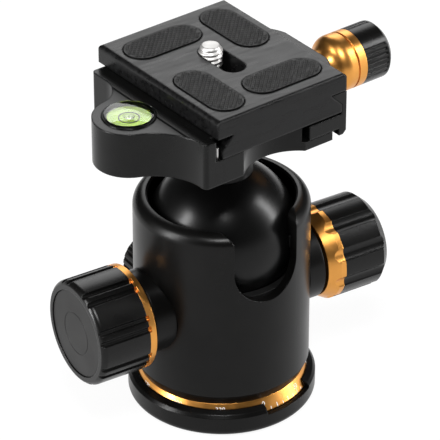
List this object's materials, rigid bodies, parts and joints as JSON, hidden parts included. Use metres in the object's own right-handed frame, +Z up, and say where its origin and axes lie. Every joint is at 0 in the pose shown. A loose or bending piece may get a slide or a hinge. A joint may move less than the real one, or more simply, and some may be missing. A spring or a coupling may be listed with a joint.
{
  "type": "tripod ball head",
  "caption": "Tripod ball head with a turning housing, locking knobs, a drop slot and a quick-release clamp that holds a camera plate.",
  "frame": {"origin": "mouth of the tripod thread, centre of the base's underside", "axes": "+Z up along the pan axis, -Y out of the drop slot, +X towards the friction knob"},
  "size_m": [0.0958, 0.0657, 0.1026],
  "materials": {
    "black_satin": "satin",
    "black_base": "satin",
    "gold": "satin",
    "black_gloss": "gloss",
    "black_knob": "satin",
    "dark_plate": "brushed",
    "steel": "satin",
    "rubber_pad": "matte",
    "clear_vial": "clear",
    "level_liquid": "gloss",
    "polymer": "matte"
  },
  "bodies": {
    "base": {"pan_base": "black_base", "thread_insert": "steel", "bearing_washer": "polymer", "retaining_washer": "steel", "retaining_screw": "steel"},
    "housing": {"housing": "black_satin", "scale_ring": "gold", "upper_seat": "polymer", "cup_spring": "steel", "main_collar": "black_base", "friction_collar": "black_base"},
    "cup": {"ball_cup": "polymer"},
    "main_plunger": {"main_wedge": "steel"},
    "main_knob": {"main_gold_ring": "gold", "main_grip": "black_knob", "main_end_cap": "black_knob", "main_shaft": "steel"},
    "friction_plunger": {"friction_pad": "polymer"},
    "friction_knob": {"friction_gold_ring": "gold", "friction_grip": "black_knob", "friction_end_cap": "black_knob", "friction_shaft": "steel"},
    "pan_plunger": {"pan_pad": "polymer"},
    "pan_knob": {"pan_screw": "steel", "pan_grip": "black_knob"},
    "tilt_pin": {"cross_pin": "steel"},
    "ball": {"ball": "black_gloss"},
    "clamp": {"neck": "black_gloss", "neck_screw": "steel", "clamp_body": "black_satin", "guide_pins": "steel", "stop_pin": "steel", "level_ring": "gold", "level_vial": "clear_vial", "level_fluid": "level_liquid"},
    "jaw": {"jaw": "black_satin"},
    "clamp_knob": {"clamp_hub": "gold", "clamp_grip": "black_knob", "clamp_end_cap": "black_knob", "clamp_screw": "steel"},
    "plate": {"plate": "dark_plate", "pad_rear": "rubber_pad", "pad_right": "rubber_pad", "pad_front": "rubber_pad", "pad_left": "rubber_pad"},
    "screw_slide": {"screw_clip": "steel"},
    "camera_screw": {"camera_screw": "steel"}
  },
  "joints": [
    {"name": "pan_turn", "type": "hinge", "parent": "base", "child": "housing", "pos_m": [0, 0, 0], "axis": [0, 0, 1], "continuous": true},
    {"name": "main_knob_turn", "type": "hinge", "parent": "main_plunger", "child": "main_knob", "pos_m": [-0.0276, 0, 0.0316], "axis": [1, 0, 0], "range_deg": [-90, 40]},
    {"name": "main_wedge_slide", "type": "slide", "parent": "housing", "child": "main_plunger", "axis": [1, 0, 0], "range_m": [-0.000312, 0.000138]},
    {"name": "cup_lift", "type": "slide", "parent": "housing", "child": "cup", "axis": [0, 0, 1], "range_m": [-0.000313, 0.000139]},
    {"name": "friction_knob_turn", "type": "hinge", "parent": "friction_plunger", "child": "friction_knob", "pos_m": [0.0266, 0, 0.0316], "axis": [-1, 0, 0], "range_deg": [-90, 30]},
    {"name": "friction_pad_slide", "type": "slide", "parent": "housing", "child": "friction_plunger", "axis": [-1, 0, 0], "range_m": [-0.000312, 0.000104]},
    {"name": "pan_knob_turn", "type": "hinge", "parent": "pan_plunger", "child": "pan_knob", "pos_m": [0, 0.027, 0.02], "axis": [0, -1, 0], "range_deg": [-180, 40]},
    {"name": "pan_pad_slide", "type": "slide", "parent": "housing", "child": "pan_plunger", "axis": [0, -1, 0], "range_m": [-0.000399, 0.000088]},
    {"name": "side_tilt", "type": "hinge", "parent": "housing", "child": "tilt_pin", "pos_m": [0, 0, 0.0487], "axis": [0, 1, 0], "range_deg": [-25, 25]},
    {"name": "drop_tilt", "type": "hinge", "parent": "tilt_pin", "child": "ball", "pos_m": [0, 0, 0.0487], "axis": [1, 0, 0], "range_deg": [-25, 90]},
    {"name": "clamp_turn", "type": "hinge", "parent": "ball", "child": "clamp", "pos_m": [0, 0, 0.0815], "axis": [0, 0, 1], "continuous": true},
    {"name": "jaw_slide", "type": "slide", "parent": "clamp", "child": "jaw", "axis": [0.9951, 0.0993, 0], "range_m": [0, 0.00449]},
    {"name": "clamp_knob_turn", "type": "hinge", "parent": "jaw", "child": "clamp_knob", "pos_m": [0.02731, 0.00273, 0.0854], "axis": [0.9951, 0.0993, 0], "range_deg": [0, 1620]},
    {"name": "plate_slide", "type": "slide", "parent": "clamp", "child": "plate", "axis": [-0.0993, 0.9951, 0], "range_m": [-0.01, 0.01]},
    {"name": "screw_slot_slide", "type": "slide", "parent": "plate", "child": "screw_slide", "axis": [-0.0993, 0.9951, 0], "range_m": [-0.0092, 0]},
    {"name": "camera_screw_turn", "type": "hinge", "parent": "screw_slide", "child": "camera_screw", "pos_m": [-0.00046, 0.00458, 0.0894], "axis": [0, 0, 1], "continuous": true}
  ],
  "couplings": [
    {"joint": "main_knob_turn", "follows": "main_wedge_slide", "rad_per_m": 5026.5},
    {"joint": "cup_lift", "follows": "main_wedge_slide", "ratio": 1},
    {"joint": "friction_knob_turn", "follows": "friction_pad_slide", "rad_per_m": 5026.5},
    {"joint": "pan_knob_turn", "follows": "pan_pad_slide", "rad_per_m": 7854},
    {"joint": "clamp_knob_turn", "follows": "jaw_slide", "rad_per_m": 6283.2}
  ]
}
